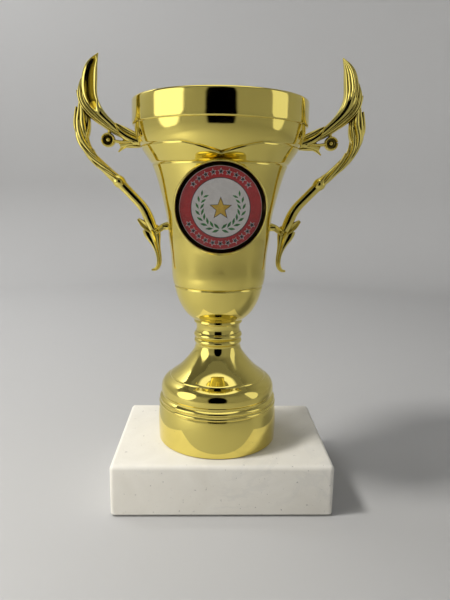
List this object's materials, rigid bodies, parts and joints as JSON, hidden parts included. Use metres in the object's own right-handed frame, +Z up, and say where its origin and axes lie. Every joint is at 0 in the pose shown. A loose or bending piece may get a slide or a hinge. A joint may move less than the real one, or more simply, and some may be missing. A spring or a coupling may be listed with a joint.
{
  "type": "cup trophy",
  "caption": "Small gilt cup trophy: flared cup with scroll handles and a round medal on its front, on a bell-shaped foot and a marble block.",
  "frame": {"origin": "on the resting plane, on the axis of the cup, which is the middle of the whole part seen from above", "axes": "+Z up along the cup's axis; the medal faces -Y; the two handles stand out along -X and +X"},
  "size_m": [0.0988, 0.0592, 0.1519],
  "materials": {
    "gilt": "vacuum-metallised plastic, mirror-bright yellow gold",
    "marble": "honed white marble with faint grey veins",
    "felt": "dark felt",
    "steel": "zinc-plated steel",
    "medal_print": "printed disc, red border, white middle, green wreath",
    "medal_resin": "clear domed resin"
  },
  "bodies": {
    "root": {"marble_base": "marble", "felt_pad_front_left": "felt", "felt_pad_front_right": "felt", "felt_pad_back_left": "felt", "felt_pad_back_right": "felt", "foot": "gilt", "cup": "gilt", "handle_left": "gilt", "handle_right": "gilt", "medal_holder": "gilt", "medal_disc": "medal_print", "medal_dome": "medal_resin", "tie_rod": "steel", "base_washer": "steel", "base_nut": "steel", "cup_washer": "steel", "cup_nut": "steel"}
  },
  "joints": []
}
